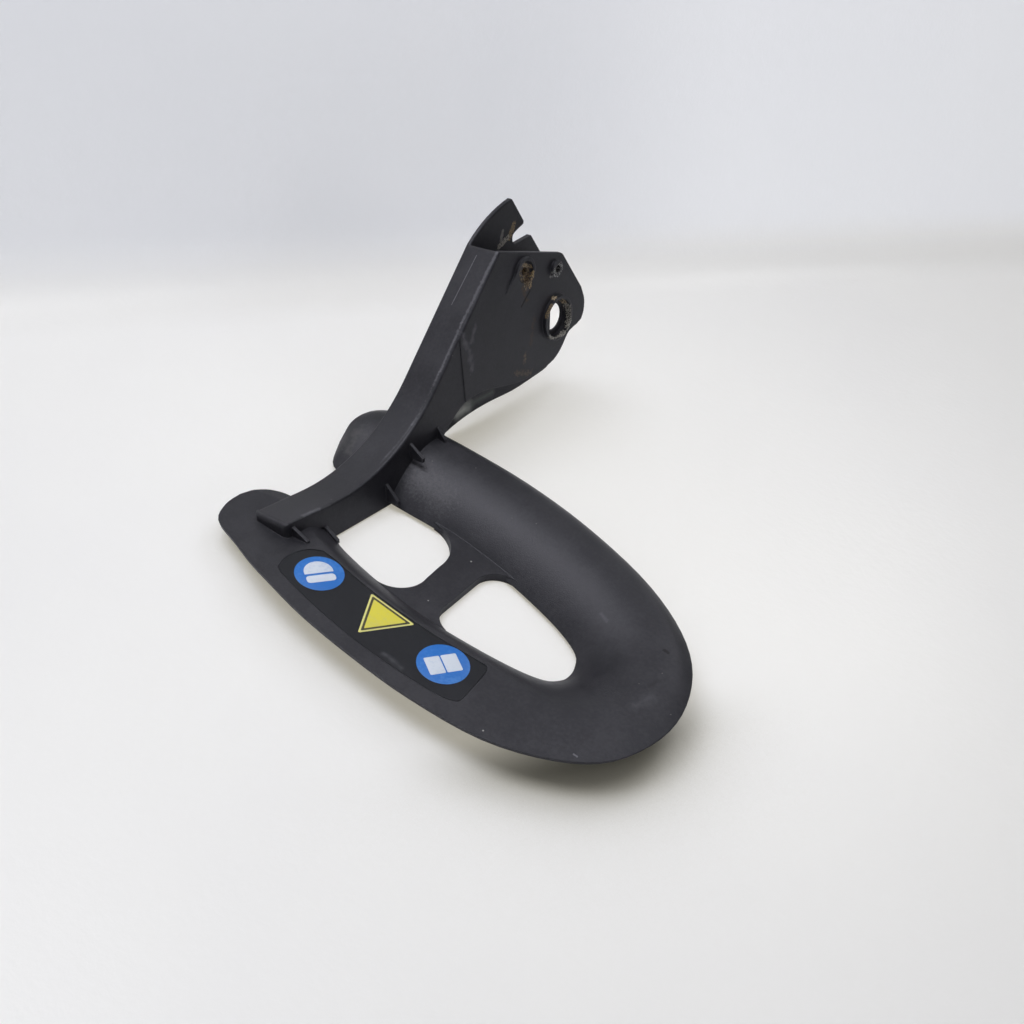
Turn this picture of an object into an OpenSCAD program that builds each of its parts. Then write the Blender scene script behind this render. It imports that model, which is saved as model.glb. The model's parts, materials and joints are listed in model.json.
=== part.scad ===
// Hand guard of a petrol chainsaw: a dished oval loop with two windows, carried by a two-walled arm.
// The guard lies on the floor, z = 0, with its loop level. X runs along the loop, Y from the loop to the arm.
// All sizes are in millimetres.

/* [Place] */
// X of the middle of the guard's footprint, counted from the middle of the film
centre_x = 5; // [0:0.1:10]
// Y of the middle of the guard's footprint, counted from the middle of the film
centre_y = 86.5; // [80:0.1:93]

/* [Walls] */
// thickness of the moulding's walls
wall = 2.2; // [1.6:0.1:3.2]
// thickness of the small ribs at the foot of the arm
rib = 1.4; // [1:0.1:2.4]

// thickness of the loop's outer edge
edge_wall = 1.6; // [1.2:0.1:2.2]
// how far the edge's lower corner is set in
edge_inset = 0.5; // [0.2:0.1:1]

/* [Loop] */
// height of the flat shelf that carries the film
shelf_z = 12; // [10:0.5:15]
// height of the loop's far outer edge
far_edge_z = 14.3; // [12:0.1:17]
// how far the roll's crown rises over the far outer edge
crown_rise = 3.2; // [2:0.1:5]
// height of the top of the window rims
rim_z = 1.7; // [1.6:0.1:3]
// height of the top of the cross web
web_z = 3.5; // [1.8:0.1:5]
// left edge of the cross web, at the shelf
web_left = -9; // [-12:0.1:-6]
// right edge of the cross web, at the shelf
web_right = 4.9; // [2:0.1:8]
// how much farther left both edges lie at the roll
web_lean = 1.6; // [0:0.1:4]
// radius of the first window's corner between the shelf and the cross web
window_a_near = 12; // [6:0.5:14]
// radius of the first window's corner between the roll and the cross web
window_a_far = 18; // [8:0.5:20]
// radius of the second window's corner between the shelf and the cross web
window_b_near = 10; // [4:0.5:12]
// radius of the second window's corner between the roll and the cross web
window_b_far = 10; // [4:0.5:14]

/* [Film] */
// depth of the recess that the film lies in
recess_depth = 0.5; // [0.3:0.1:0.8]
// thickness of the printed film
film_thickness = 0.3; // [0.2:0.05:0.4]
// gap between the film's edge and the recess
film_gap = 0.25; // [0.1:0.05:0.5]

/* [Arm] */
// tilt of the pivot axis out of the floor plane, degrees
arm_tilt = 14.1; // [8:0.1:18]
// where the arm's outer right face meets the floor, along X
arm_x = -49.4; // [-54:0.1:-46]
// width over the arm's two walls
arm_width = 17; // [14:0.1:20]
// near end of the arm
foot_y = 6; // [4:0.1:9]
// height of the arm's back at its near end, square to the pivot axis
foot_c = 16.4; // [13:0.1:18]
// where the bend of the arm's back begins
bend_y = 30; // [26:0.5:38]
// height of the arm's back where the bend begins
bend_c = 15.1; // [12:0.1:17]
// radius of the bend
bend_radius = 76; // [65:1:90]
// slope of the back above the bend, degrees
back_slope = 47.5; // [42:0.5:52]
// where the back stops and the mouth between the plates opens
back_end_y = 132; // [127:0.1:137]

/* [Plates] */
// radius of the pivot bore
pivot_radius = 6; // [4:0.1:7]
// pivot centre along Y
pivot_y = 171; // [167:0.1:176]
// pivot centre height, square to the pivot axis
pivot_c = 45; // [40:0.1:49]
// outside radius of the pivot collar
collar_radius = 9.9; // [8:0.1:12]
// radius of the collar's counterbore
counterbore_radius = 8.6; // [7:0.1:10]
// how far the collar stands out of the plate
collar_height = 1.9; // [1:0.1:3]
// thickness left round the pivot bore under the counterbore
bore_floor = 1; // [0.8:0.1:1.6]
// outside radius of the small boss
stop_boss_radius = 3.6; // [3:0.1:5]
// radius of the hole in the small boss
stop_hole_radius = 1.8; // [1:0.1:2.5]
// outside radius of the horseshoe boss
shoe_radius = 6.2; // [5:0.1:7]
// width of the horseshoe boss's wall
shoe_wall = 1.5; // [1.2:0.1:2.6]
// height of the horseshoe boss at its round end
shoe_height = 1.6; // [1:0.1:2.6]
// radius of the hole in the horseshoe boss
spring_hole_radius = 1.7; // [1:0.1:2.5]

/* [Hidden] */
arc_steps = 16;
span_steps = 4;
edge_steps = 4;
slope_steps = 8;
overlap = 0.6;
pad_rise = 0.3;
stop_centre = [170.2, 67.6];
shoe_centre = [148.2, 72.4];
web_near = 21.5;
web_far_a = 63.6;
web_far_b = 62.4;
web_hold = 1.8;
shoe_run = 13.2;
shoe_turn = -35.3;
arc_detail = 64;
foot_slope = atan((foot_c - bend_c) / (bend_y - foot_y));
bend_centre = [bend_y + bend_radius * sin(foot_slope), bend_c + bend_radius * cos(foot_slope)];
bend_end = bend_centre + bend_radius * [sin(back_slope), -cos(back_slope)];
back_end = [back_end_y, bend_end[1] + (back_end_y - bend_end[0]) * tan(back_slope)];
floor_c_left = arm_width * tan(arm_tilt);

// point of a smooth curve through four neighbours, at the fraction f between b and c
function between(a, b, c, d, f) =
    (2 * b + (c - a) * f + (2 * a - 5 * b + 4 * c - d) * f * f + (3 * b - a - 3 * c + d) * f * f * f) / 2;

// smooth open curve through the given rows, n steps to a span
function smooth(rows, n) = [
    for (i = [0 : len(rows) - 2])
        for (k = [0 : n - 1])
            between(rows[max(i - 1, 0)], rows[i], rows[i + 1], rows[min(i + 2, len(rows) - 1)], k / n),
    rows[len(rows) - 1]
];

// Sections of the loop from the near lobe round the right end to the far lobe. Each row holds the outer edge
// x, y, z, the rim x, y, z, the rise of the crown, the crown's place across the band and the fall's power.
loop_rows = [
    [-83.8, 12.6, 8.2, -82.6, 18.6, 8, 0, 0.70, 1.3],
    [-82.6, 4.4, 8.3, -79.2, 23.8, 7.6, 0, 0.74, 1.3],
    [-77, -4.3, 8.7, -72.5, 28.2, 6.6, 0, 0.76, 1.3],
    [-64, -8.4, 9.4, -60, 30, 4.6, 0, 0.74, 1.3],
    [-52.2, -12.3, 10.6, -49.5, 28.4, 2.4, 0, 0.70, 1.3],
    [-42, -15.1, shelf_z, -41, 25.8, rim_z, 0, 0.69, 1.3],
    [-20, -18.4, shelf_z, -20, 23, rim_z, 0, 0.70, 1.3],
    [5, -19.5, shelf_z, 2, 22.4, rim_z, 0, 0.69, 1.3],
    [30, -18.8, shelf_z, 24, 24.3, rim_z, 0, 0.72, 1.35],
    [57.9, -14.2, shelf_z, 41, 27.4, rim_z, 0.2, 0.66, 1.5],
    [80, -3.6, shelf_z + 0.4, 51.3, 30.9, rim_z, 0.7, 0.52, 1.7],
    [93.6, 10.2, shelf_z + 0.8, 55.5, 35.4, rim_z, 1.4, 0.42, 1.9],
    [99.3, 29.4, shelf_z + 1.4, 56.3, 39.4, rim_z, 2, 0.34, 2],
    [97.3, 48, shelf_z + 2, 55.2, 44.2, rim_z, 2.5, 0.28, 2.1],
    [88, 66.2, far_edge_z, 51.4, 49.8, rim_z, 2.9, 0.24, 2.2],
    [71.7, 80.4, far_edge_z, 42, 54.3, rim_z, crown_rise, 0.21, 2.2],
    [48, 91.3, far_edge_z, 28, 58, rim_z, crown_rise, 0.20, 2.2],
    [16, 98.5, far_edge_z, 8, 61.3, rim_z, crown_rise, 0.20, 2.2],
    [-14, 100.9, far_edge_z, -20, 62.9, rim_z, crown_rise, 0.20, 2.2],
    [-42, 99.6, far_edge_z, -46, 60.6, rim_z, crown_rise, 0.20, 2.2],
    [-64, 97, far_edge_z, -66, 59.2, rim_z, crown_rise, 0.22, 2.1],
    [-79.4, 94.6, 14, -79.4, 59, 2, 2.4, 0.24, 2],
    [-87.2, 87.8, 13, -85.8, 67.4, 4.4, 1, 0.32, 1.8],
    [-88.7, 80.2, 11, -88, 73.4, 8, 0.4, 0.40, 1.6]
];
loop_sections = smooth(loop_rows, span_steps);

// share of the way across the band of the profile's k-th point, the crown falling on a point
function across(s, k) = k <= edge_steps
    ? s[7] * k / edge_steps
    : s[7] + (1 - s[7]) * (k - edge_steps) / slope_steps;

// height of the shell's upper face at the share u of the way from the outer edge to the rim
function shell_z(s, u) = u < s[7]
    ? s[2] + s[6] * (1 - pow(1 - u / s[7], 2))
    : s[5] + (s[2] + s[6] - s[5]) * (1 - pow((u - s[7]) / (1 - s[7]), s[8]));

function band_width(s) = norm([s[3] - s[0], s[4] - s[1]]);

// slope of the upper face, rise over run toward the rim
function shell_slope(s, u) =
    (shell_z(s, min(u + 0.03, 1)) - shell_z(s, max(u - 0.03, 0)))
    / ((min(u + 0.03, 1) - max(u - 0.03, 0)) * band_width(s));

function upper_point(s, u) = [s[0] + (s[3] - s[0]) * u, s[1] + (s[4] - s[1]) * u, shell_z(s, u)];

// the lower face lies one wall under the upper one, square to it
function lower_point(s, u) =
    let (m = shell_slope(s, u), l = sqrt(1 + m * m), w = band_width(s), t = u == 0 ? edge_wall : wall)
    upper_point(s, max(u, edge_inset / w)) + t / l * [m * (s[3] - s[0]) / w, m * (s[4] - s[1]) / w, -1];

profile_last = edge_steps + slope_steps;
function section_ring(s) = concat(
    [for (k = [0 : profile_last]) upper_point(s, across(s, k))],
    [for (k = [profile_last : -1 : 0]) lower_point(s, across(s, k))]
);

// one closed skin round the ring of sections, with a flat cap at each end
module loop_shell() {
    rings = [for (s = loop_sections) section_ring(s)];
    n = len(rings[0]);
    last = len(rings) - 1;
    sides = [
        for (i = [0 : last - 1])
            for (j = [0 : n - 1])
                let (a = i * n + j, b = i * n + (j + 1) % n, c = a + n, d = b + n)
                    each [[a, b, c], [b, d, c]]
    ];
    caps = [
        for (k = [0 : profile_last - 1])
            let (a = k, b = k + 1, c = n - 2 - k, d = n - 1 - k, e = last * n)
                each [[b, a, d], [c, b, d], [e + a, e + b, e + d], [e + b, e + c, e + d]]
    ];
    polyhedron(points = [for (ring = rings) each ring], faces = concat(sides, caps), convexity = 10);
}

// rectangle with four round corners, from one corner to the other
module round_box(low, high, r) {
    translate([low[0] + r, low[1]]) square([high[0] - low[0] - 2 * r, high[1] - low[1]]);
    translate([low[0], low[1] + r]) square([high[0] - low[0], high[1] - low[1] - 2 * r]);
    for (x = [low[0] + r, high[0] - r])
        for (y = [low[1] + r, high[1] - r])
            translate([x, y]) circle(r, $fn = arc_detail);
}

// one window beside the web, lying the way of dir: its side runs from near_x to far_x, its far edge at far_y
module web_window(dir, near_x, near_r, far_r, far_y) {
    far_x = near_x - web_lean;
    near = [near_x + dir * near_r, web_near + near_r];
    far = [far_x + dir * far_r, far_y - far_r];
    reach = near_x + dir * 40;
    polygon([
        [reach, web_near], [near[0], web_near], [near_x, near[1]],
        [far_x, far[1]], [far[0], far_y], [reach, far_y]
    ]);
    translate(near) circle(near_r, $fn = arc_detail);
    translate(far) circle(far_r, $fn = arc_detail);
}

// flat web between the two windows, its ends held under the shelf's slope and the roll
module cross_web() {
    left = web_left - web_lean - window_a_far;
    right = web_right - web_lean + window_b_far;
    linear_extrude(web_z)
        difference() {
            translate([left, web_near - web_hold]) square([right - left, web_far_a - web_near + 2 * web_hold]);
            web_window(-1, web_left, window_a_near, window_a_far, web_far_a);
            web_window(1, web_right, window_b_near, window_b_far, web_far_b);
        }
}

// places its child, drawn in the Y-height plane, as a plate from a to b along the pivot axis
module along_axis(a, b) {
    rotate([90, 0, 90]) translate([0, 0, a]) linear_extrude(b - a) children();
}

// moves its child from the arm's frame to the guard's frame
module on_arm() {
    translate([arm_x, 0, 0]) rotate([0, -arm_tilt, 0]) children();
}

foot_round = 2;
back_line = concat(
    [for (k = [0 : 4]) [foot_y, foot_c] + foot_round * [1 - cos(k * 22.5), sin(k * 22.5) - 1]],
    [for (k = [0 : arc_steps])
        let (a = -foot_slope + (back_slope + foot_slope) * k / arc_steps)
            bend_centre + bend_radius * [sin(a), -cos(a)]],
    [back_end]
);
back_under = concat(
    [back_end + wall * [sin(back_slope), -cos(back_slope)]],
    [for (k = [arc_steps : -1 : 0])
        let (a = -foot_slope + (back_slope + foot_slope) * k / arc_steps)
            bend_centre + (bend_radius + wall) * [sin(a), -cos(a)]],
    [[foot_y + wall, foot_c - foot_round - 0.6]]
);

// the arm's back, a bent strip that closes the channel on its upper side
module arm_back() {
    along_axis(-arm_width, 0)
        polygon(concat(back_line, back_under, [[foot_y + wall, 8], [foot_y, 8]]));
}

right_edge = concat(
    [[174.4, 73.5], [175.8, 72.2], [189.8, 53.7]],
    smooth([[191.9, 49], [192.5, 46.5], [192.2, 42], [190.3, 38.4]], 3),
    smooth([[186.9, 37], [183, 36.1], [179.8, 34.5], [174.1, 28.3], [166.2, 24.6], [149.4, 23.3],
        [134, 25.5], [121, 28.2], [109, 27.6], [99.9, 22.4], [95.3, 18.4]], 3)
);

// right wall of the arm with the plate that carries the pivot, a hair thicker beyond the crease
module right_wall() {
    along_axis(-wall, 0)
        polygon(concat(back_line, right_edge, [[80, 9], [61, overlap], [29, overlap], [24, 7.4], [foot_y, 8.8]]));
    along_axis(-wall, pad_rise)
        intersection() {
            polygon(concat(back_line, right_edge, [[80, 9]]));
            polygon([[105.4, 62], [108.6, 26], [130, 0], [220, 0], [220, 110], [105.4, 110]]);
        }
}

hook_radius = 61.8;
hook_start = 39;
hook_end = 10.8;
hook_centre = back_end + hook_radius * [sin(hook_start), -cos(hook_start)];
hook_arc = [
    for (k = [1 : 8])
        let (a = hook_start + (hook_end - hook_start) * k / 8)
            hook_centre + hook_radius * [-sin(a), cos(a)]
];
left_edge = concat(
    [[167.7, 86.2], [167.5, 85], [162.4, 83.2]],
    smooth([[162.4, 83.2], [160.4, 82.1], [159.8, 80.4], [160.2, 78.7], [161.8, 77.6]], 3),
    [[172.8, 78.6], [179.6, 69.4]],
    smooth([[186, 56], [187.4, 44], [187, 28], [186.4, 16], [184.6, 12.8], [173.8, 11.4], [158.5, 10.3], [141, 10.9],
        [125, 10], [112, 7.4], [104, floor_c_left + 0.3]], 3)
);

// left wall of the arm, with the hook above the mouth and a deep edge that stands on the floor
module left_wall() {
    along_axis(-arm_width, wall - arm_width)
        polygon(concat(back_line, hook_arc, left_edge,
            [[100, floor_c_left], [31, floor_c_left], [24, 9.6], [foot_y, 12]]));
}

// thin triangular rib on the right wall, from its top at c_top down to the loop
module gusset(y, c_top, c_foot, reach) {
    translate([-0.4, y - rib / 2, 0]) rotate([90, 0, 0]) mirror([0, 0, 1]) linear_extrude(rib)
        polygon([[0, c_top], [0.8, c_top], [reach, c_foot + 0.3], [reach, c_foot - 1.2], [0, c_foot - 1.2]]);
}

// boss with a small pocket whose top slopes down to the plate between two tapering sides
module horseshoe() {
    difference() {
        along_axis(-overlap, shoe_height)
            translate(shoe_centre) {
                circle(shoe_radius, $fn = arc_detail);
                polygon([[-shoe_radius, 0.8], [-13.2, -7], [-3.3, -15.4], [shoe_radius, -0.8]]);
            }
        rotate([90, 0, 90]) translate([shoe_centre[0], shoe_centre[1], shoe_height])
            rotate([0, 0, shoe_turn]) rotate([atan((shoe_height - pad_rise) / shoe_run), 0, 0])
                translate([-20, -30, 0]) cube([40, 30, 9]);
        along_axis(pad_rise, shoe_height + 1)
            translate(shoe_centre) circle(shoe_radius - shoe_wall, $fn = arc_detail);
    }
}

// all that stands on or is cut through the arm's plates
module arm() {
    difference() {
        union() {
            intersection() {
                union() {
                    arm_back();
                    right_wall();
                    left_wall();
                }
                linear_extrude(130)
                    round_box([-arm_width, foot_y], [0.3, 230], 2.4);
            }
            along_axis(-overlap, pad_rise + collar_height)
                translate([pivot_y, pivot_c]) circle(collar_radius, $fn = arc_detail);
            along_axis(-arm_width - 0.8, -arm_width + overlap)
                translate([pivot_y, pivot_c]) circle(collar_radius, $fn = arc_detail);
            along_axis(-overlap, 1.7)
                translate(stop_centre) circle(stop_boss_radius, $fn = arc_detail);
            horseshoe();
            gusset(91, 22.9, 18.1, 4.4);
            gusset(74.4, 22.2, 17.1, 7);
            gusset(59.4, 10.4, 4.2, 6.5);
            gusset(25.6, 7, 3, 6.4);
            gusset(9.6, 14.4, 10.6, 8);
        }
        along_axis(-arm_width - 3, 5)
            translate([pivot_y, pivot_c]) circle(pivot_radius, $fn = arc_detail);
        along_axis(bore_floor - wall, 5)
            translate([pivot_y, pivot_c]) circle(counterbore_radius, $fn = arc_detail);
        along_axis(-wall - 1, 5)
            translate(stop_centre) circle(stop_hole_radius, $fn = arc_detail);
        along_axis(-wall - 1, 5)
            translate(shoe_centre) circle(spring_hole_radius, $fn = arc_detail);
    }
}

// outline of the recess on the shelf, from its left end along the ridge and back along the outer edge
film_points = concat(
    smooth([[-42.2, -7.8], [-44.2, -3], [-44, 2.4], [-42, 7.4], [-38, 10.6]], 3),
    [for (x = [-32 : 8 : 32]) [x, 8.6 + 0.0022 * pow(x + 2, 2)]],
    smooth([[38, 11.8], [40, 10.4], [41.4, 4], [42.8, -6], [42, -8.6], [38.4, -10.4]], 3),
    [for (x = [32 : -8 : -32]) [x, -13.3 + 0.0022 * pow(x - 4, 2)]],
    [[-39.4, -9.2]]
);

// the outline drawn in by the gap g on every side
module film_outline(g) {
    polygon([for (p = film_points) p - g * [abs(p[0]) > 38.2 ? sign(p[0]) : 0, sign(p[1] - 1)]]);
}

// puts the middle of the guard's footprint on the origin
module centred() {
    translate([-centre_x, -centre_y, 0]) children();
}

// the whole moulding
module hand_guard() {
    color([0.09, 0.09, 0.1])
        centred()
            difference() {
                union() {
                    loop_shell();
                    cross_web();
                    on_arm() arm();
                }
                translate([0, 0, shelf_z - recess_depth]) linear_extrude(4) film_outline(0);
            }
}

// thin printed film in the recess of the shelf
module label_film() {
    color([0.14, 0.14, 0.15])
        centred()
            translate([0, 0, shelf_z - recess_depth]) linear_extrude(film_thickness) film_outline(film_gap);
}

hand_guard();
label_film();
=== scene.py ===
# Hand guard of a petrol chainsaw: the moulding's finish, the printed film, a pale floor, six soft lamps.
import json
import math

import bpy
from mathutils import Matrix, Vector

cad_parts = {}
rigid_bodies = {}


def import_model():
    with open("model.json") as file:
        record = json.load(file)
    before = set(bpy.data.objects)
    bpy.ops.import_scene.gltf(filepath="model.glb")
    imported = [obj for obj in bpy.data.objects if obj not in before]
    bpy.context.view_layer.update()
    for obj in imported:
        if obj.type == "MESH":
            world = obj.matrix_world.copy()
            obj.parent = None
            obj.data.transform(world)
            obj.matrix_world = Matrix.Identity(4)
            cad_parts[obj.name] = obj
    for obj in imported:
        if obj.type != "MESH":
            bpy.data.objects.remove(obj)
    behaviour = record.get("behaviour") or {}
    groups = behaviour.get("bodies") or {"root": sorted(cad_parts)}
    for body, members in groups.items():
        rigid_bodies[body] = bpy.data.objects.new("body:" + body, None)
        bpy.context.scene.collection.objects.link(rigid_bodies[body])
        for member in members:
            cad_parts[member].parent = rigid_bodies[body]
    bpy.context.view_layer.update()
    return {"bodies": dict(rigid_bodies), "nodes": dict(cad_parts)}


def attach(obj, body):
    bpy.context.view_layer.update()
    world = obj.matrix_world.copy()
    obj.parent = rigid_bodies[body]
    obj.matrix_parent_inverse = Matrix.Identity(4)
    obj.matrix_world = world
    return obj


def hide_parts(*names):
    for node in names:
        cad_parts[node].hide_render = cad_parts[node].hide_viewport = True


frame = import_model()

mm = 0.001
kept = set(frame["nodes"].values()) | set(frame["bodies"].values())
for extra in [thing for thing in bpy.data.objects if thing not in kept]:
    bpy.data.objects.remove(extra)
print("frame loaded:", ", ".join(sorted(frame["nodes"])))

# camera

cameraPlan = {
    "place": (188.79, -349.24, 323.22),  # mm
    "right": (0.76782, 0.61323, 0.18550),
    "down": (0.50259, -0.39697, -0.76800),
    "ahead": (-0.39732, 0.68291, -0.61300),
    "lens": 45.70,
    "sensor": 36.0,
}


def makeCamera(plan):
    data = bpy.data.cameras.new("studioCamera")
    data.lens = plan["lens"]
    data.sensor_width = plan["sensor"]
    data.clip_start = 0.01
    camera = bpy.data.objects.new("studioCamera", data)
    bpy.context.scene.collection.objects.link(camera)
    turn = Matrix((plan["right"], -Vector(plan["down"]), -Vector(plan["ahead"]))).transposed()
    camera.matrix_world = Matrix.Translation(Vector(plan["place"]) * mm) @ turn.to_4x4()
    bpy.context.scene.camera = camera


makeCamera(cameraPlan)
bpy.context.scene.view_settings.view_transform = "Standard"

# lamps and world

# turn and height in degrees, seen from the guard
lampPlan = {
    "lampHigh": {"turn": 210, "height": 61, "power": 3.2, "size": 0.52},
    "lampTop": {"turn": 220, "height": 86, "power": 2.1, "size": 0.60},
    "lampBack": {"turn": 92, "height": 41, "power": 0.9, "size": 0.36},
    "lampFar": {"turn": 60, "height": 60, "power": 0.4, "size": 0.36},
    "lampRight": {"turn": 0, "height": 24, "power": 0.5, "size": 0.36},
    "lampFront": {"turn": 285, "height": 34, "power": 0.9, "size": 0.50},
}
lampDistance = 0.95
lampColour = (0.98, 0.98, 1.0)


def makeLamp(name, plan):
    data = bpy.data.lights.new(name, "AREA")
    data.shape = "DISK"
    data.size = plan["size"]
    data.energy = plan["power"]
    data.color = lampColour
    lamp = bpy.data.objects.new(name, data)
    bpy.context.scene.collection.objects.link(lamp)
    turn, height = math.radians(plan["turn"]), math.radians(plan["height"])
    toward = Vector((math.cos(turn) * math.cos(height), math.sin(turn) * math.cos(height), math.sin(height)))
    lamp.matrix_world = (
        Matrix.Translation(toward * lampDistance) @ toward.to_track_quat("Z", "Y").to_matrix().to_4x4()
    )


for lampName, plan in lampPlan.items():
    makeLamp(lampName, plan)

worldPlan = {"fill": (0.93, 0.95, 1.0, 1), "fillStrength": 0.05, "seen": (1, 1, 1, 1), "seenStrength": 0.85}


def makeWorld(plan):
    world = bpy.data.worlds.new("studioWorld")
    bpy.context.scene.world = world
    world.use_nodes = True
    tree = world.node_tree
    tree.nodes.clear()
    fill = addNode(tree, "ShaderNodeBackground", {"Color": plan["fill"], "Strength": plan["fillStrength"]})
    seen = addNode(tree, "ShaderNodeBackground", {"Color": plan["seen"], "Strength": plan["seenStrength"]})
    path = addNode(tree, "ShaderNodeLightPath")
    both = addNode(
        tree, "ShaderNodeMixShader", {0: path.outputs["Is Camera Ray"], 1: fill.outputs[0], 2: seen.outputs[0]}
    )
    addNode(tree, "ShaderNodeOutputWorld", {"Surface": both.outputs[0]})


# node helpers


def addNode(tree, kind, inputs=None, **settings):
    node = tree.nodes.new(kind)
    for key, value in settings.items():
        setattr(node, key, value)
    for key, value in (inputs or {}).items():
        if isinstance(value, bpy.types.NodeSocket):
            tree.links.new(value, node.inputs[key])
        else:
            node.inputs[key].default_value = value
    return node


def calc(tree, operation, *values):
    return addNode(tree, "ShaderNodeMath", dict(enumerate(values)), operation=operation).outputs[0]


def calcVector(tree, operation, *values):
    node = addNode(tree, "ShaderNodeVectorMath", dict(enumerate(values)), operation=operation)
    return node.outputs["Value" if operation in ("DOT_PRODUCT", "DISTANCE") else "Vector"]


def mapRange(tree, value, low, high, start=0.0, end=1.0):
    inputs = {"Value": value, "From Min": low, "From Max": high, "To Min": start, "To Max": end}
    return addNode(tree, "ShaderNodeMapRange", inputs, interpolation_type="SMOOTHSTEP").outputs[0]


def noise(tree, position, scale, detail=3.0, roughness=0.55):
    inputs = {"Vector": position, "Scale": scale, "Detail": detail, "Roughness": roughness}
    return addNode(tree, "ShaderNodeTexNoise", inputs).outputs[0]


def mixColour(tree, factor, first, second):
    return addNode(tree, "ShaderNodeMix", {0: factor, 6: first, 7: second}, data_type="RGBA").outputs[2]


def mixValue(tree, factor, first, second):
    return addNode(tree, "ShaderNodeMix", {0: factor, 2: first, 3: second}, data_type="FLOAT").outputs[0]


def newGroup(name, inputs, outputs):
    tree = bpy.data.node_groups.new(name, "ShaderNodeTree")
    for label, value in inputs.items():
        kind = "NodeSocketFloat" if isinstance(value, float) else "NodeSocketVector"
        tree.interface.new_socket(label, in_out="INPUT", socket_type=kind).default_value = value
    for label, kind in outputs.items():
        tree.interface.new_socket(label, in_out="OUTPUT", socket_type=kind)
    return tree, addNode(tree, "NodeGroupInput").outputs


def finishGroup(tree, results):
    addNode(tree, "NodeGroupOutput", results)
    return tree


makeWorld(worldPlan)
print("camera, lamps and world are set")

# shared effects


# a patch or scratch with a ragged border, round the line from one point to another
def makeWornPatch():
    tree, given = newGroup(
        "wornPatch",
        {
            "Position": (0, 0, 0), "From": (0, 0, 0), "To": (0, 0, 0),
            "Width": 0.001, "Softness": 0.5, "Spots": 0.0, "Ragged": 1.0, "Bare": 0.0,
        },
        {"Mask": "NodeSocketFloat"},
    )
    along = calcVector(tree, "SUBTRACT", given["To"], given["From"])
    reach = calcVector(tree, "SUBTRACT", given["Position"], given["From"])
    whole = calc(tree, "MAXIMUM", calcVector(tree, "DOT_PRODUCT", along, along), 1e-9)
    share = calc(tree, "DIVIDE", calcVector(tree, "DOT_PRODUCT", reach, along), whole)
    share = addNode(tree, "ShaderNodeClamp", {"Value": share}).outputs[0]
    nearest = calcVector(tree, "MULTIPLY_ADD", along, share, given["From"])
    gap = calcVector(tree, "DISTANCE", given["Position"], nearest)
    inside = calc(tree, "SUBTRACT", 1.0, calc(tree, "DIVIDE", gap, given["Width"]))
    # a patch with a bare share is evenly flecked nearly to its border
    steep = calc(tree, "MULTIPLY_ADD", given["Bare"], 3.0, 1.0)
    inside = calc(tree, "MINIMUM", calc(tree, "MULTIPLY", inside, steep), 1.0)
    torn = calc(tree, "MULTIPLY_ADD", given["Spots"], given["Ragged"], calc(tree, "SUBTRACT", inside, given["Bare"]))
    low = 0.3
    return finishGroup(tree, {"Mask": mapRange(tree, torn, low, calc(tree, "ADD", low, given["Softness"]))})


# fine moulded grain, slow patches of sheen and a few pale specks of dust
def makeMouldGrain():
    tree, given = newGroup(
        "mouldGrain",
        {"Position": (0, 0, 0), "GrainScale": 2400.0, "SpeckScale": 330.0, "SpeckShare": 0.05},
        {"Height": "NodeSocketFloat", "Patches": "NodeSocketFloat", "Specks": "NodeSocketFloat"},
    )
    fine = noise(tree, given["Position"], given["GrainScale"], 3.0, 0.6)
    coarse = noise(tree, given["Position"], calc(tree, "MULTIPLY", given["GrainScale"], 0.4), 2.0)
    height = calc(tree, "MULTIPLY_ADD", coarse, 0.35, fine)
    mottle = noise(tree, given["Position"], 750.0, 2.0)
    patches = mixValue(tree, 0.4, noise(tree, given["Position"], 55.0, 4.0, 0.62), mottle)
    cells = addNode(tree, "ShaderNodeTexVoronoi", {"Vector": given["Position"], "Scale": given["SpeckScale"]})
    dot = mapRange(tree, cells.outputs["Distance"], 0.05, 0.085, 1.0, 0.0)
    pick = addNode(tree, "ShaderNodeSeparateColor", {0: cells.outputs["Color"]}).outputs[0]
    specks = calc(tree, "MULTIPLY", dot, calc(tree, "LESS_THAN", pick, given["SpeckShare"]))
    return finishGroup(tree, {"Height": height, "Patches": patches, "Specks": specks})


# rounds what edges look like and masks where hands have rubbed them
def makeRubbedEdge():
    tree, given = newGroup(
        "rubbedEdge", {"Radius": 0.0006}, {"Normal": "NodeSocketVector", "Rub": "NodeSocketFloat"}
    )
    rounded = addNode(tree, "ShaderNodeBevel", {"Radius": given["Radius"]}, samples=6).outputs[0]
    flat = addNode(tree, "ShaderNodeNewGeometry").outputs["Normal"]
    rub = mapRange(tree, calcVector(tree, "DOT_PRODUCT", rounded, flat), 0.98, 0.80)
    return finishGroup(tree, {"Normal": rounded, "Rub": rub})


effects = {"wornPatch": makeWornPatch(), "mouldGrain": makeMouldGrain(), "rubbedEdge": makeRubbedEdge()}


def useEffect(tree, name, inputs):
    node = tree.nodes.new("ShaderNodeGroup")
    node.node_tree = effects[name]
    for key, value in inputs.items():
        if isinstance(value, bpy.types.NodeSocket):
            tree.links.new(value, node.inputs[key])
        else:
            node.inputs[key].default_value = value
    return node.outputs


def newMaterial(name):
    material = bpy.data.materials.new(name)
    material.use_nodes = True
    tree = material.node_tree
    tree.nodes.clear()
    position = addNode(tree, "ShaderNodeTexCoord").outputs["Object"]
    shader = addNode(tree, "ShaderNodeBsdfPrincipled")
    addNode(tree, "ShaderNodeOutputMaterial", {"Surface": shader.outputs[0]})
    return material, tree, position, shader


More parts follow.
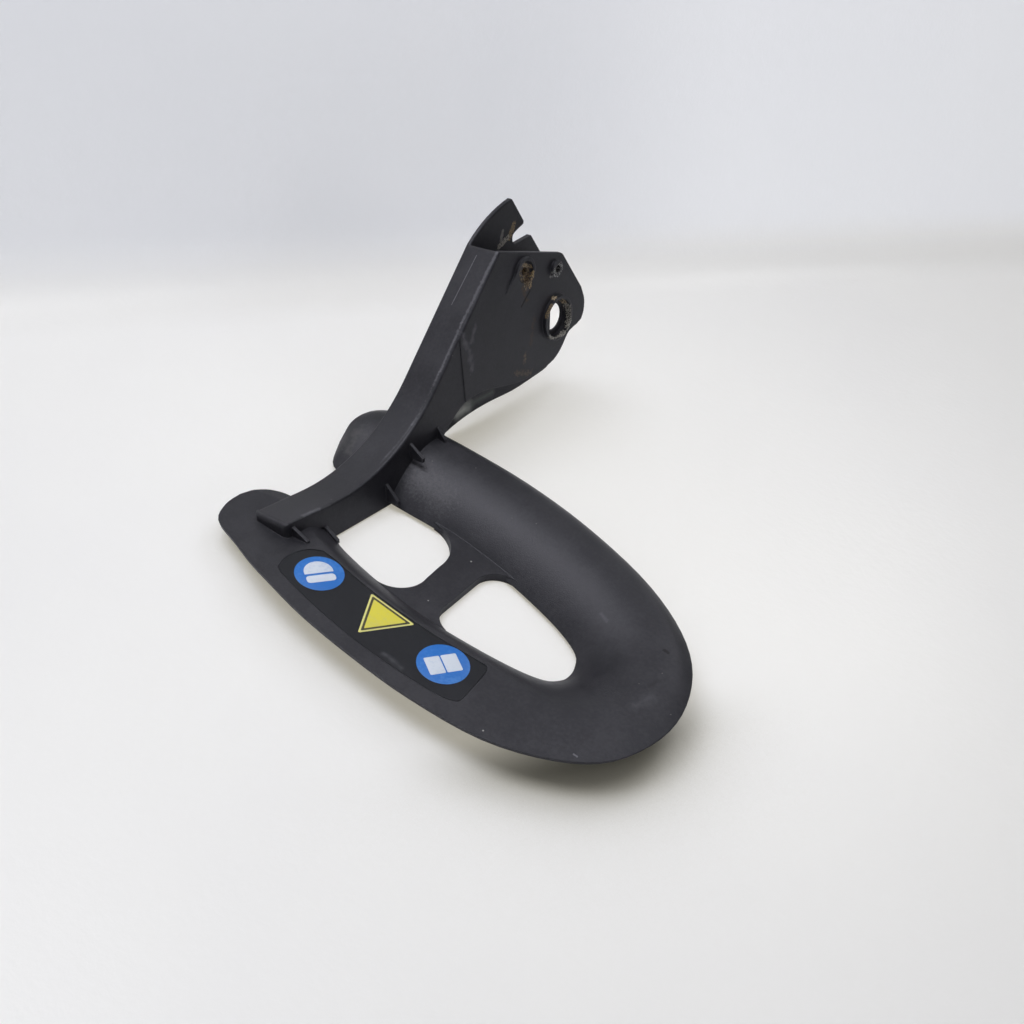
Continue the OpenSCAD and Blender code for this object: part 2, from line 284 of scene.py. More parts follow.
def addMarks(tree, position, marks, colour, roughness):
    grains = {mark.get("grain", 900.0) for mark in marks}
    spots = {grain: calc(tree, "SUBTRACT", noise(tree, position, grain, 3.0, 0.62), 0.5) for grain in grains}
    for mark in marks:
        mask = useEffect(tree, "wornPatch", {
            "Position": position,
            "From": tuple(v * mm for v in mark["start"]),
            "To": tuple(v * mm for v in mark["end"]),
            "Width": mark["width"] * mm,
            "Softness": mark.get("soft", 0.5),
            "Spots": spots[mark.get("grain", 900.0)],
            "Ragged": mark.get("ragged", 1.6),
            "Bare": mark.get("bare", 0.0),
        })["Mask"]
        amount = calc(tree, "MULTIPLY", mask, mark["strength"])
        colour = mixColour(tree, amount, colour, (*mark["colour"], 1))
        roughness = mixValue(tree, amount, roughness, mark["roughness"])
    return colour, roughness


# satin black plastic of the moulding, with its scuffs and grime

plasticPlan = {
    "plain": (0.0132, 0.0131, 0.0168, 1),
    "patch": (0.0270, 0.0266, 0.0315, 1),
    "rubbed": (0.060, 0.060, 0.068, 1),
    "speck": (0.22, 0.21, 0.20, 1),
    "tint": (0.91, 0.91, 1.0, 1),
    "roughness": 0.41,
    "roughPatch": 0.48,
    "edgeRadius": 0.6,  # mm
    "grainDepth": 0.075,  # mm
}
pale = (0.15, 0.15, 0.17)
dust = (0.36, 0.34, 0.30)
tan = (0.30, 0.22, 0.12)
grime = (0.085, 0.052, 0.026)
single = (0.42, 0.42, 0.40)
# each mark: a line on the guard in mm, its half width, how torn and how fine it is
plasticMarks = [
    # back of the arm: one long fine scratch, and along its right edge wear with a painted highlight
    {"start": (-83.7, 42.8, 77.6), "end": (-80.6, 27.6, 61.2), "width": 0.32, "soft": 0.3, "ragged": 1.0, "colour": pale,
     "strength": 0.8, "roughness": 0.5},
    # painted highlight and wear along the arm's right edge, down to its foot
    {"start": (-75.9, 45.0, 82.0), "end": (-71.2, 23.6, 59.1), "width": 1.3, "ragged": 1.5, "colour": pale,
     "strength": 0.5, "roughness": 0.5},
    {"start": (-71.2, 23.6, 59.1), "end": (-67.0, 8.9, 43.6), "width": 1.3, "soft": 0.8, "ragged": 1.4, "colour": pale,
     "strength": 0.65, "roughness": 0.5},
    {"start": (-67.2, 8.8, 43.5), "end": (-63.1, -8.8, 27.4), "width": 1.3, "soft": 0.8, "ragged": 1.0, "colour": pale,
     "strength": 0.65, "roughness": 0.5},
    {"start": (-63.1, -8.8, 27.4), "end": (-61.8, -23.9, 19.3), "width": 1.2, "soft": 0.8, "ragged": 1.0, "colour": pale,
     "strength": 0.42, "roughness": 0.5},
    {"start": (-61.8, -23.9, 19.3), "end": (-58.3, -47.4, 14.7), "width": 1.1, "soft": 0.8, "ragged": 1.0, "colour": pale,
     "strength": 0.32, "roughness": 0.5},
    # plate: a pale forked blotch, reddish dirt beside the collar
    {"start": (-68.3, 29.0, 56.8), "end": (-66.9, 26.9, 51.1), "width": 3.0, "soft": 1.0, "ragged": 1.5, "grain": 400.0, "colour": pale,
     "strength": 0.60, "roughness": 0.6},
    {"start": (-68.0, 21.4, 55.4), "end": (-66.0, 24.9, 47.6), "width": 3.0, "soft": 1.0, "ragged": 1.5, "grain": 400.0, "colour": pale,
     "strength": 0.60, "roughness": 0.6},
    {"start": (-65.9, 25.5, 47.0), "end": (-64.0, 26.5, 39.4), "width": 3.6, "soft": 1.0, "ragged": 1.5, "grain": 400.0, "colour": pale,
     "strength": 0.60, "roughness": 0.6},
    {"start": (-66.2, 68.5, 48.1), "end": (-63.5, 66.4, 37.6), "width": 3.0, "soft": 1.0, "ragged": 2.0, "colour": grime,
     "strength": 0.40, "roughness": 0.55},
    {"start": (-62.6, 62.2, 34.1), "end": (-61.7, 62.1, 30.5), "width": 1.8, "soft": 0.8, "ragged": 2.6, "colour": tan,
     "strength": 0.40, "roughness": 0.6},
    {"start": (-61.0, 55.8, 27.7), "end": (-60.2, 66.4, 24.5), "width": 2.4, "soft": 0.8, "ragged": 2.8, "colour": tan,
     "strength": 0.25, "roughness": 0.6},
    # pocket of the horseshoe boss: caked grime under tan flecks, dark at its hole
    {"start": (-73.6, 63.4, 70.2), "end": (-69.5, 63.1, 65.2), "width": 4.2, "soft": 0.5, "ragged": 1.2, "colour": (0.045, 0.027, 0.015),
     "strength": 0.95, "roughness": 0.7},
    {"start": (-72.2, 60.9, 72.1), "end": (-69.4, 63.8, 64.6), "width": 4.4, "soft": 0.5, "ragged": 3.0, "grain": 1500.0, "bare": 0.6,
     "colour": tan, "strength": 0.9, "roughness": 0.65},
    {"start": (-70.2, 66.1, 69.1), "end": (-69.9, 65.7, 62.8), "width": 1.5, "soft": 0.3, "ragged": 2.8, "grain": 1500.0, "bare": 0.5,
     "colour": (0.42, 0.30, 0.15), "strength": 0.8, "roughness": 0.6},
    {"start": (-72.5, 60.9, 73.1), "end": (-71.9, 66.3, 71.1), "width": 1.2, "soft": 0.3, "ragged": 2.8, "grain": 1500.0, "bare": 0.5,
     "colour": (0.40, 0.31, 0.19), "strength": 0.75, "roughness": 0.6},
    {"start": (-69.4, 60.0, 63.8), "end": (-68.5, 63.6, 57.4), "width": 2.2, "soft": 0.8, "ragged": 2.0, "colour": grime,
     "strength": 0.65, "roughness": 0.65},
    # painted shadow along the right leg of the boss's rim
    {"start": (-69.4, 65.7, 61.0), "end": (-68.1, 59.8, 55.9), "width": 0.9, "soft": 0.6, "ragged": 0.4, "colour": (0.003, 0.003, 0.003),
     "strength": 0.9, "roughness": 0.7},
    # collar: painted shade in its counterbore under the flecks, tan on top, speckled grey on the right and below, tan
    # flecks on the left
    # painted shade, darkening the counterbore round its right and lower side
    {"start": (-66.2, 92.0, 47.7), "end": (-61.6, 91.1, 37.5), "width": 4.2, "soft": 0.6, "ragged": 0.4, "colour": (0.005, 0.005, 0.004),
     "strength": 0.8, "roughness": 0.5},
    {"start": (-61.4, 88.8, 36.9), "end": (-61.6, 77.6, 37.7), "width": 3.4, "soft": 0.6, "ragged": 0.4, "colour": (0.005, 0.005, 0.004),
     "strength": 0.8, "roughness": 0.5},
    {"start": (-66.8, 82.0, 53.2), "end": (-66.6, 91.8, 48.0), "width": 1.8, "soft": 0.4, "ragged": 2.8, "grain": 1900.0, "bare": 0.4,
     "colour": (0.62, 0.50, 0.34), "strength": 0.9, "roughness": 0.6},
    {"start": (-65.7, 92.5, 46.7), "end": (-61.6, 91.8, 37.8), "width": 2.5, "soft": 0.3, "ragged": 3.4, "grain": 1900.0, "bare": 0.5,
     "colour": (0.46, 0.44, 0.39), "strength": 0.9, "roughness": 0.55},
    {"start": (-61.8, 88.0, 36.4), "end": (-61.6, 78.4, 37.9), "width": 2.2, "soft": 0.3, "ragged": 3.4, "grain": 1900.0, "bare": 0.5,
     "colour": (0.46, 0.44, 0.39), "strength": 0.9, "roughness": 0.55},
    {"start": (-64.1, 75.3, 47.8), "end": (-65.0, 78.9, 51.1), "width": 1.7, "soft": 0.3, "ragged": 3.2, "grain": 1900.0, "bare": 0.5,
     "colour": tan, "strength": 0.85, "roughness": 0.6},
    # small boss: oily, with bright grains
    {"start": (-70.2, 84.9, 64.3), "end": (-70.2, 84.9, 64.3), "width": 5.4, "soft": 0.3, "ragged": 0.4, "colour": (0.010, 0.010, 0.010),
     "strength": 0.9, "roughness": 0.20},
    {"start": (-68.8, 81.6, 64.1), "end": (-69.5, 85.5, 66.0), "width": 3.4, "soft": 0.3, "ragged": 3.6, "grain": 1900.0, "bare": 0.75,
     "colour": (0.5, 0.5, 0.48), "strength": 0.85, "roughness": 0.4},
    # hook: tan grime down from the notch, pale flecks beside it
    {"start": (-89.8, 74.5, 80.0), "end": (-88.6, 71.0, 75.4), "width": 2.1, "soft": 0.3, "ragged": 3.0, "grain": 1900.0, "bare": 0.4,
     "colour": tan, "strength": 0.85, "roughness": 0.65},
    {"start": (-88.7, 70.3, 75.6), "end": (-88.1, 64.1, 73.4), "width": 1.8, "soft": 0.3, "ragged": 3.0, "grain": 1900.0, "bare": 0.4,
     "colour": dust, "strength": 0.8, "roughness": 0.6},
    {"start": (-89.6, 66.9, 79.4), "end": (-88.6, 65.5, 75.6), "width": 1.3, "soft": 0.3, "ragged": 3.0, "grain": 1500.0, "bare": 0.3,
     "colour": (0.22, 0.21, 0.20), "strength": 0.7, "roughness": 0.6},
    # foot of the arm
    {"start": (-59.3, -70.7, 15.2), "end": (-59.1, -63.1, 14.8), "width": 2.0, "soft": 0.9, "ragged": 1.5, "colour": pale,
     "strength": 0.60, "roughness": 0.6},
    # lobe behind the arm: worn and wrinkled, dark at its outer edge
    {"start": (-84.1, -21.5, 7.6), "end": (-86.2, -13.3, 12.8), "width": 6.5, "soft": 1.1, "ragged": 2.6, "grain": 400.0,
     "colour": (0.075, 0.074, 0.073), "strength": 0.7, "roughness": 0.6},
    {"start": (-85.5, -24.8, 4.2), "end": (-90.5, -16.7, 7.7), "width": 2.4, "soft": 1.2, "ragged": 0.8,
     "colour": (0.006, 0.006, 0.007), "strength": 0.5, "roughness": 0.5},
    # left wall below the plate: painted reflection of the pale floor along its lower edge, pale at the left and
    # grey-green further on
    {"start": (-72.0, 34.4, 9.3), "end": (-72.2, 41.2, 10.0), "width": 6.5, "soft": 1.0, "ragged": 0.3, "grain": 400.0,
     "colour": (0.78, 0.80, 0.73), "strength": 1.0, "roughness": 0.5},
    {"start": (-72.3, 41.2, 10.5), "end": (-72.3, 57.9, 10.6), "width": 4.6, "soft": 1.0, "ragged": 0.3, "grain": 400.0,
     "colour": (0.16, 0.18, 0.165), "strength": 0.8, "roughness": 0.5},
    # roll: painted highlight beside the arm, one small pale patch
    # painted highlight: a broad pale patch where the roll's sheen starts beside the arm
    {"start": (-50.2, -15.0, 11.3), "end": (-38.4, -16.0, 9.8), "width": 15.0, "soft": 1.0, "ragged": 1.8, "grain": 900.0,
     "colour": (0.080, 0.079, 0.086), "strength": 0.75, "roughness": 0.48},
    {"start": (45.1, -22.8, 12.6), "end": (49.0, -24.6, 12.7), "width": 1.6, "soft": 0.9, "ragged": 1.2, "colour": pale,
     "strength": 0.35, "roughness": 0.55},
    # right end of the loop: dark nick, pale scuff, smudge
    {"start": (73.5, -25.1, 17.1), "end": (74.8, -25.1, 17.2), "width": 1.4, "ragged": 1.2, "colour": (0.004, 0.004, 0.004),
     "strength": 0.95, "roughness": 0.6},
    {"start": (80.4, -54.1, 15.4), "end": (82.3, -46.1, 16.0), "width": 5.0, "soft": 1.3, "ragged": 1.4, "grain": 400.0, "colour": pale,
     "strength": 0.24, "roughness": 0.55},
    {"start": (79.3, -42.9, 16.2), "end": (79.7, -39.3, 16.5), "width": 2.2, "soft": 1.0, "ragged": 1.2, "colour": (0.007, 0.007, 0.008),
     "strength": 0.6, "roughness": 0.6},
    {"start": (77.9, -84.1, 12.7), "end": (79.0, -84.1, 12.7), "width": 0.6, "soft": 0.3, "ragged": 1.4, "colour": pale,
     "strength": 0.8, "roughness": 0.6},
    # single grains
    {"start": (-9.7, -29.3, 3.5), "end": (-9.7, -29.3, 3.5), "width": 0.6, "soft": 0.3, "ragged": 0.8, "colour": single,
     "strength": 0.8, "roughness": 0.6},
    {"start": (-6.0, -58.3, 3.5), "end": (-6.0, -58.3, 3.5), "width": 0.5, "soft": 0.3, "ragged": 0.8, "colour": single,
     "strength": 0.8, "roughness": 0.6},
    {"start": (51.2, -98.0, 12.0), "end": (51.2, -98.0, 12.0), "width": 0.6, "soft": 0.3, "ragged": 0.8, "colour": single,
     "strength": 0.8, "roughness": 0.6},
]


def makeGuardPlastic(plan, marks):
    material, tree, position, shader = newMaterial("satinBlackPlastic")
    grain = useEffect(tree, "mouldGrain", {"Position": position})
    edge = useEffect(tree, "rubbedEdge", {"Radius": plan["edgeRadius"] * mm})
    patches = mapRange(tree, grain["Patches"], 0.38, 0.66)
    colour = mixColour(tree, patches, plan["plain"], plan["patch"])
    colour = mixColour(tree, calc(tree, "MULTIPLY", edge["Rub"], 0.5), colour, plan["rubbed"])
    colour = mixColour(tree, calc(tree, "MULTIPLY", grain["Specks"], 0.7), colour, plan["speck"])
    roughness = mixValue(tree, patches, plan["roughness"], plan["roughPatch"])
    colour, roughness = addMarks(tree, position, marks, colour, roughness)
    tree.links.new(colour, shader.inputs["Base Color"])
    tree.links.new(roughness, shader.inputs["Roughness"])
    shader.inputs["Specular Tint"].default_value = plan["tint"]
    bump = addNode(tree, "ShaderNodeBump", {
        "Strength": 1.0, "Distance": plan["grainDepth"] * mm, "Height": grain["Height"], "Normal": edge["Normal"],
    })
    tree.links.new(bump.outputs[0], shader.inputs["Normal"])
    return material


# printed film and its inks

filmPlan = {
    "plain": (0.0078, 0.0080, 0.0100, 1),
    "patch": (0.0112, 0.0114, 0.0142, 1),
    "tint": (0.88, 0.91, 1.0, 1),
    "gloss": 0.39,
    "roughness": 0.32,
}
filmMarks = [
    {"start": (6.6, -96.9, 11.8), "end": (14.8, -97.3, 11.8), "width": 2.4, "soft": 1.1, "ragged": 1.0, "grain": 400.0, "colour": pale,
     "strength": 0.38, "roughness": 0.5},
]
inkPlan = {
    "blueInk": {"colour": (0.012, 0.165, 0.590, 1), "faded": (0.060, 0.250, 0.680, 1), "roughness": 0.38},
    "whiteInk": {"colour": (0.70, 0.76, 0.86, 1), "faded": (0.50, 0.60, 0.78, 1), "roughness": 0.42},
    "yellowInk": {"colour": (0.78, 0.70, 0.065, 1), "faded": (0.70, 0.66, 0.16, 1), "roughness": 0.40},
    "paleYellowInk": {"colour": (0.80, 0.76, 0.24, 1), "faded": (0.66, 0.64, 0.30, 1), "roughness": 0.42},
    "oliveInk": {"colour": (0.050, 0.046, 0.014, 1), "faded": (0.12, 0.11, 0.04, 1), "roughness": 0.45},
}


def makeFilm(plan, marks):
    material, tree, position, shader = newMaterial("greyFilm")
    grain = useEffect(tree, "mouldGrain", {"Position": position, "GrainScale": 2600.0, "SpeckShare": 0.08})
    patches = mapRange(tree, grain["Patches"], 0.38, 0.66)
    colour = mixColour(tree, patches, plan["plain"], plan["patch"])
    colour = mixColour(tree, calc(tree, "MULTIPLY", grain["Specks"], 0.5), colour, plasticPlan["speck"])
    roughness = mixValue(tree, patches, plan["roughness"], plan["roughness"] + 0.08)
    colour, roughness = addMarks(tree, position, marks, colour, roughness)
    tree.links.new(colour, shader.inputs["Base Color"])
    tree.links.new(roughness, shader.inputs["Roughness"])
    shader.inputs["Specular Tint"].default_value = plan["tint"]
    shader.inputs["Specular IOR Level"].default_value = plan["gloss"]
    bump = addNode(tree, "ShaderNodeBump", {"Strength": 0.4, "Distance": 0.00002, "Height": grain["Height"]})
    tree.links.new(bump.outputs[0], shader.inputs["Normal"])
    return material


def makeInk(name, plan):
    material, tree, position, shader = newMaterial(name)
    grain = useEffect(tree, "mouldGrain", {"Position": position, "GrainScale": 2600.0, "SpeckShare": 0.06})
    faded = mapRange(tree, grain["Patches"], 0.45, 0.72)
    colour = mixColour(tree, faded, plan["colour"], plan["faded"])
    colour = mixColour(tree, calc(tree, "MULTIPLY", grain["Specks"], 0.4), colour, plasticPlan["speck"])
    roughness = mixValue(tree, faded, plan["roughness"], plan["roughness"] + 0.1)
    tree.links.new(colour, shader.inputs["Base Color"])
    tree.links.new(roughness, shader.inputs["Roughness"])
    bump = addNode(tree, "ShaderNodeBump", {"Strength": 0.3, "Distance": 0.00002, "Height": grain["Height"]})
    tree.links.new(bump.outputs[0], shader.inputs["Normal"])
    return material


guardPlastic = makeGuardPlastic(plasticPlan, plasticMarks)
greyFilm = makeFilm(filmPlan, filmMarks)
inks = {name: makeInk(name, plan) for name, plan in inkPlan.items()}
print("materials are made")

# pieces


def selectOnly(piece):
    bpy.ops.object.select_all(action="DESELECT")
    piece.select_set(True)
    bpy.context.view_layer.objects.active = piece


def dress(piece, material):
    piece.data.materials.clear()
    piece.data.materials.append(material)
    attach(piece, "root")


# one welded skin of the moulding, so that its curved band shades smoothly, with rounded edges on its arm
mouldingPlan = {
    "weld": 0.01,
    "flat": 0.2,  # degrees, below which neighbouring faces are one
    "smoothAngle": 26,
    "wallAxis": (0.9699, 0, 0.2436),  # across the arm's two walls
    # place along that axis, side it faces, how far along Y its edge is rounded
    "wallFaces": ((-52.7, 1, 100), (-55.0, -1, 100), (-67.6, 1, 75), (-69.8, -1, 75)),
    "leastEdge": 2.4,
    "rounding": 1.05,
}


# picks the upper outline of the arm's walls, where hands have rounded it
def selectWallEdges(piece, plan):
    axis = Vector(plan["wallAxis"])
    facesOfEdge = {}
    for face in piece.data.polygons:
        for key in face.edge_keys:
            facesOfEdge.setdefault(key, []).append(face)

    def roundedUpTo(flat, other):
        across = flat.normal.dot(axis)
        if abs(across) < 0.9995 or abs(other.normal.dot(axis)) > 0.1 or other.normal.z < 0.2:
            return -math.inf
        if (other.center - flat.center).dot(flat.normal) > -1e-6:
            return -math.inf
        place = flat.center.dot(axis) / mm
        ends = [lastY for at, side, lastY in plan["wallFaces"] if abs(place - at) < 0.4 and across * side > 0]
        return max(ends, default=-math.inf)

    for edge in piece.data.edges:
        pair = facesOfEdge[edge.key]
        first, second = (piece.data.vertices[index].co for index in edge.vertices)
        isLong = (first - second).length > plan["leastEdge"] * mm
        farEnd = max(first.y, second.y) / mm
        edge.select = isLong and farEnd < max(roundedUpTo(*pair), roundedUpTo(*pair[::-1]))
    bpy.ops.object.mode_set(mode="EDIT")
    bpy.ops.mesh.select_mode(type="EDGE")


def makeMoulding(plan):
    source = frame["nodes"]["hand_guard"]
    piece = bpy.data.objects.new("guard_moulding", source.data.copy())
    bpy.context.scene.collection.objects.link(piece)
    selectOnly(piece)
    if piece.data.has_custom_normals:
        bpy.ops.mesh.customdata_custom_splitnormals_clear()
    bpy.ops.object.mode_set(mode="EDIT")
    bpy.ops.mesh.select_all(action="SELECT")
    bpy.ops.mesh.remove_doubles(threshold=plan["weld"] * mm)
    bpy.ops.mesh.dissolve_limited(angle_limit=math.radians(plan["flat"]))
    bpy.ops.mesh.select_all(action="DESELECT")
    bpy.ops.object.mode_set(mode="OBJECT")
    selectWallEdges(piece, plan)
    bpy.ops.mesh.bevel(offset=plan["rounding"] * mm, segments=4, affect="EDGES", clamp_overlap=False)
    bpy.ops.object.mode_set(mode="OBJECT")
    bpy.ops.object.shade_smooth_by_angle(angle=math.radians(plan["smoothAngle"]))
    flatWalls = piece.modifiers.new("flatWalls", "WEIGHTED_NORMAL")
    flatWalls.mode = "FACE_AREA"
    flatWalls.keep_sharp = True
    bpy.ops.object.modifier_apply(modifier=flatWalls.name)
    dress(piece, guardPlastic)
    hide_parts("hand_guard")


makeMoulding(mouldingPlan)
filmNode = frame["nodes"]["label_film"]
filmNode.data.materials.clear()
filmNode.data.materials.append(greyFilm)
print("moulding and film are dressed")

# the print: plain fields of colour, each a thin skin that lies on the film or on the field below
printPlan = {
    "filmTop": 11.8,
    "sink": 0.02,
    "skin": 0.03,
    "edge": 0.01,
    "turn": 60.3,  # degrees from the film's length to the print's upright
}
printFields = {
    "disc_left": {"ink": "blueInk", "layer": 1, "sides": 72, "radius": 8.9, "middle": (-35.5, -85.4)},
    "dome_left": {"ink": "whiteInk", "layer": 2, "sides": 48, "radius": 5.3, "middle": (-35.5, -85.4),
                  "shift": (0, 1.0), "cut": -0.8},
    "bar_left": {"ink": "whiteInk", "layer": 2, "sides": 4, "radius": 1, "middle": (-35.5, -85.4),
                 "shift": (0, -2.6), "stretch": (10.6, 3.6), "corner": 1.3},
    "disc_right": {"ink": "blueInk", "layer": 1, "sides": 72, "radius": 9.2, "middle": (23.1, -85.3)},
    "card_right_a": {"ink": "whiteInk", "layer": 2, "sides": 4, "radius": 1, "middle": (23.1, -85.3),
                     "shift": (-3.05, 0), "stretch": (5.6, 8.0), "corner": 0.5},
    "card_right_b": {"ink": "whiteInk", "layer": 2, "sides": 4, "radius": 1, "middle": (23.1, -85.3),
                     "shift": (3.05, 0), "stretch": (5.6, 8.0), "corner": 0.5},
    "triangle_border": {"ink": "paleYellowInk", "layer": 1, "sides": 3, "radius": 11.9,
                        "middle": (-6.1, -84.6), "corner": 0.9},
    "triangle_line": {"ink": "oliveInk", "layer": 2, "sides": 3, "radius": 10.5,
                      "middle": (-6.1, -84.6), "corner": 0.7},
    "triangle_field": {"ink": "yellowInk", "layer": 3, "sides": 3, "radius": 8.8,
                       "middle": (-6.1, -84.6), "corner": 0.5},
}


def makePrintField(name, field, plan):
    bpy.ops.object.select_all(action="DESELECT")
    if field["sides"] == 4:
        bpy.ops.mesh.primitive_plane_add(size=field["radius"] * mm)
    else:
        bpy.ops.mesh.primitive_circle_add(
            vertices=field["sides"], radius=field["radius"] * mm, fill_type="NGON"
        )
    piece = bpy.context.object
    piece.name = name
    bpy.ops.object.mode_set(mode="EDIT")
    bpy.ops.mesh.select_all(action="SELECT")
    if "stretch" in field:
        bpy.ops.transform.resize(value=(*field["stretch"], 1))
    if "cut" in field:
        bpy.ops.mesh.bisect(plane_co=(0, field["cut"] * mm, 0), plane_no=(0, -1, 0), clear_outer=True)
        bpy.ops.mesh.select_all(action="SELECT")
    if "corner" in field:
        bpy.ops.mesh.bevel(offset=field["corner"] * mm, segments=5, affect="VERTICES")
        bpy.ops.mesh.select_all(action="SELECT")
    bpy.ops.transform.translate(value=(*(v * mm for v in field.get("shift", (0, 0))), 0))
    bpy.ops.object.mode_set(mode="OBJECT")
    top = plan["filmTop"] + plan["skin"] * field["layer"]
    piece.rotation_euler.z = math.radians(plan["turn"])
    piece.location = (field["middle"][0] * mm, field["middle"][1] * mm, top * mm)
    bpy.ops.object.transform_apply(location=True, rotation=True, scale=True)
    skin = piece.modifiers.new("skin", "SOLIDIFY")
    skin.thickness = (plan["skin"] + plan["sink"]) * mm
    skin.offset = -1
    edge = piece.modifiers.new("edge", "BEVEL")
    edge.width = plan["edge"] * mm
    edge.segments = 2
    for modifier in (skin, edge):
        bpy.ops.object.modifier_apply(modifier=modifier.name)
    bpy.ops.object.shade_smooth_by_angle(angle=math.radians(30))
    dress(piece, inks[field["ink"]])


for fieldName, field in printFields.items():
    makePrintField(fieldName, field, printPlan)
print("print fields laid:", len(printFields))

# floor and backdrop: one pale sheet with a soft fold behind the guard

sheetPlan = {
    "foldPoint": (-195.5, 61.8),  # mm
    "foldTurn": 63.0,  # degrees
    "width": 5.0,
    "depth": 2.4,
    "rise": 1.6,
    "lean": 0.35,
    "foldRadius": 0.03,
    "below": 0.03,  # mm
}
sheetFinish = {
    "plain": (0.880, 0.876, 0.866, 1),
    "patch": (0.850, 0.850, 0.858, 1),
    "roughness": 0.36,
    # what the camera sees lit by the lamps, beside the lift
    "seen": (0.630, 0.650, 0.712, 1),
    "seenPatch": (0.612, 0.632, 0.700, 1),
    # how much paler the camera sees the sheet, in a warm colour; under the guard's right end a painted shadow cuts this
    # back
    "lift": 0.26,
    "liftColour": (1, 0.935, 0.74, 1),
    "shadeReach": 60,  # mm
    "shadeWay": (0.9, -0.45, 0),
    "shadeSpan": (0.080, 0.105),
    "shadeSeen": (0.42, 0.40, 0.32, 1),
    # painted pools of light on the sheet: round the guard, and seen through the pivot bore
    "paintedLightPools": (
        {"middle": (0, 20, 0), "reach": 340, "lift": 0.085},  # mm
        {"middle": (-104, 152, 0), "reach": 20, "lift": 0.10},
    ),
    # the lift above the fold, at its left and its right
    "backLift": (0.345, 0.46),
    "backSpan": (0.15, 0.30),
    "backColour": (1, 1, 1.0, 1),
}


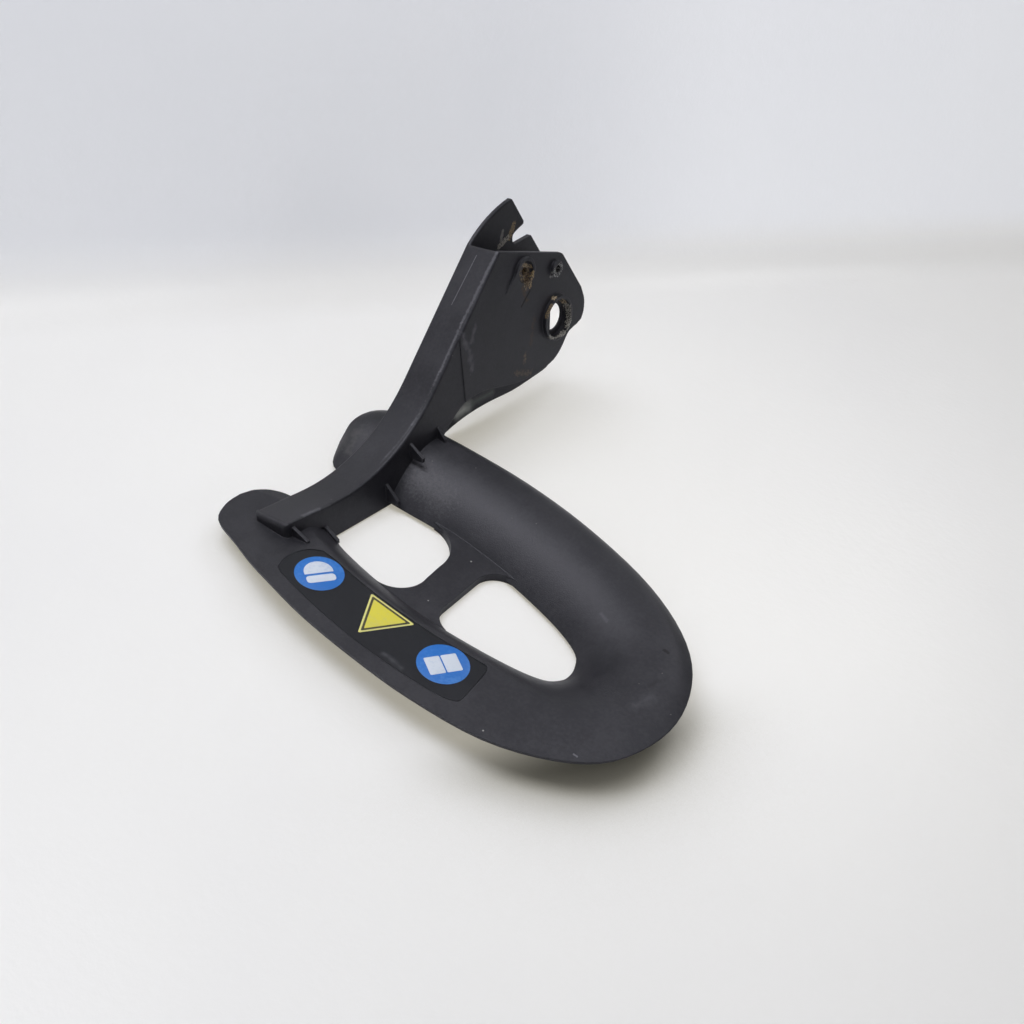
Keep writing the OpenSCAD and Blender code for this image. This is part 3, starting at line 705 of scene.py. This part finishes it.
def makeSheetMaterial(plan):
    material, tree, position, shader = newMaterial("paleVinyl")
    camera = addNode(tree, "ShaderNodeLightPath").outputs["Is Camera Ray"]
    place = addNode(tree, "ShaderNodeSeparateXYZ", {0: position}).outputs
    isBack = mapRange(tree, place["Z"], 0.0, 0.03)
    # how open to the sky the sheet is, counted only under the guard's right end, where it paints a shadow
    reach = plan["shadeReach"] * mm
    sky = addNode(tree, "ShaderNodeAmbientOcclusion", {"Distance": reach}, samples=8).outputs["AO"]
    shaded = mapRange(tree, calcVector(tree, "DOT_PRODUCT", position, plan["shadeWay"]), *plan["shadeSpan"])
    paintedShadowLit = mixValue(tree, shaded, 1.0, calc(tree, "POWER", sky, 3.0))
    # colour: plain for the light it throws back, and for the camera another colour, darkened and warmed under the
    # guard's right end as a painted shadow
    patches = mapRange(tree, noise(tree, position, 6.0, 4.0), 0.35, 0.65)
    seen = mixColour(tree, patches, plan["seen"], plan["seenPatch"])
    seen = mixColour(tree, paintedShadowLit, plan["shadeSeen"], seen)
    colour = mixColour(tree, camera, mixColour(tree, patches, plan["plain"], plan["patch"]), seen)
    tree.links.new(colour, shader.inputs["Base Color"])
    shader.inputs["Roughness"].default_value = plan["roughness"]
    bump = addNode(tree, "ShaderNodeBump", {
        "Strength": 0.35, "Distance": 0.0004, "Height": noise(tree, position, 260.0, 3.0),
    })
    tree.links.new(bump.outputs[0], shader.inputs["Normal"])
    # the camera sees a paler sheet, and the lamps stay at a plain level
    floorLift = plan["lift"]
    # painted pools of light are added to the lift
    for paintedPool in plan["paintedLightPools"]:
        gap = calcVector(tree, "DISTANCE", position, tuple(v * mm for v in paintedPool["middle"]))
        paintedPoolLight = mapRange(tree, gap, 0.0, paintedPool["reach"] * mm, paintedPool["lift"], 0.0)
        floorLift = calc(tree, "ADD", floorLift, paintedPoolLight)
    # the painted shadow cuts the lift under the guard's right end
    floorLift = calc(tree, "MULTIPLY", floorLift, paintedShadowLit)
    backLift = mapRange(tree, place["Y"], *plan["backSpan"], *plan["backLift"])
    lift = mixValue(tree, isBack, floorLift, backLift)
    tree.links.new(calc(tree, "MULTIPLY", lift, camera), shader.inputs["Emission Strength"])
    liftColour = mixColour(tree, isBack, plan["liftColour"], plan["backColour"])
    tree.links.new(liftColour, shader.inputs["Emission Color"])
    # the sheet is seen from its front only and keeps no lamp off the guard
    clear = addNode(tree, "ShaderNodeBsdfTransparent")
    shadow = addNode(tree, "ShaderNodeLightPath").outputs["Is Shadow Ray"]
    behind = calc(tree, "MAXIMUM", addNode(tree, "ShaderNodeNewGeometry").outputs["Backfacing"], shadow)
    both = addNode(tree, "ShaderNodeMixShader", {0: behind, 1: shader.outputs[0], 2: clear.outputs[0]})
    output = next(node for node in tree.nodes if node.type == "OUTPUT_MATERIAL")
    tree.links.new(both.outputs[0], output.inputs["Surface"])
    return material


def selectEdges(piece, wanted):
    bpy.ops.object.mode_set(mode="EDIT")
    bpy.ops.mesh.select_all(action="DESELECT")
    bpy.ops.object.mode_set(mode="OBJECT")
    points = piece.data.vertices
    for edge in piece.data.edges:
        edge.select = all(wanted(points[index].co) for index in edge.vertices)
    for point in points:
        point.select = wanted(point.co)
    bpy.ops.object.mode_set(mode="EDIT")
    bpy.ops.mesh.select_mode(type="EDGE")


def makeSheet(plan, finish):
    bpy.ops.object.select_all(action="DESELECT")
    bpy.ops.mesh.primitive_plane_add(size=1)
    sheet = bpy.context.object
    sheet.name = "floor_sheet"
    bpy.ops.object.mode_set(mode="EDIT")
    bpy.ops.mesh.select_all(action="SELECT")
    bpy.ops.transform.resize(value=(plan["width"], plan["depth"], 1))
    bpy.ops.transform.translate(value=(0, -plan["depth"] / 2, 0))
    bpy.ops.object.mode_set(mode="OBJECT")
    selectEdges(sheet, lambda point: point.y > -0.001)
    bpy.ops.mesh.extrude_edges_move(TRANSFORM_OT_translate={"value": (0, plan["lean"], plan["rise"])})
    bpy.ops.object.mode_set(mode="OBJECT")
    selectEdges(sheet, lambda point: point.y > -0.001 and point.z < 0.001)
    bpy.ops.mesh.bevel(offset=plan["foldRadius"], segments=10, affect="EDGES")
    bpy.ops.object.mode_set(mode="OBJECT")
    sheet.rotation_euler.z = math.radians(plan["foldTurn"])
    sheet.location = (plan["foldPoint"][0] * mm, plan["foldPoint"][1] * mm, -plan["below"] * mm)
    bpy.ops.object.transform_apply(location=True, rotation=True, scale=True)
    bpy.ops.object.shade_smooth()
    sheet.data.materials.append(makeSheetMaterial(finish))


makeSheet(sheetPlan, sheetFinish)
print("floor sheet is laid")
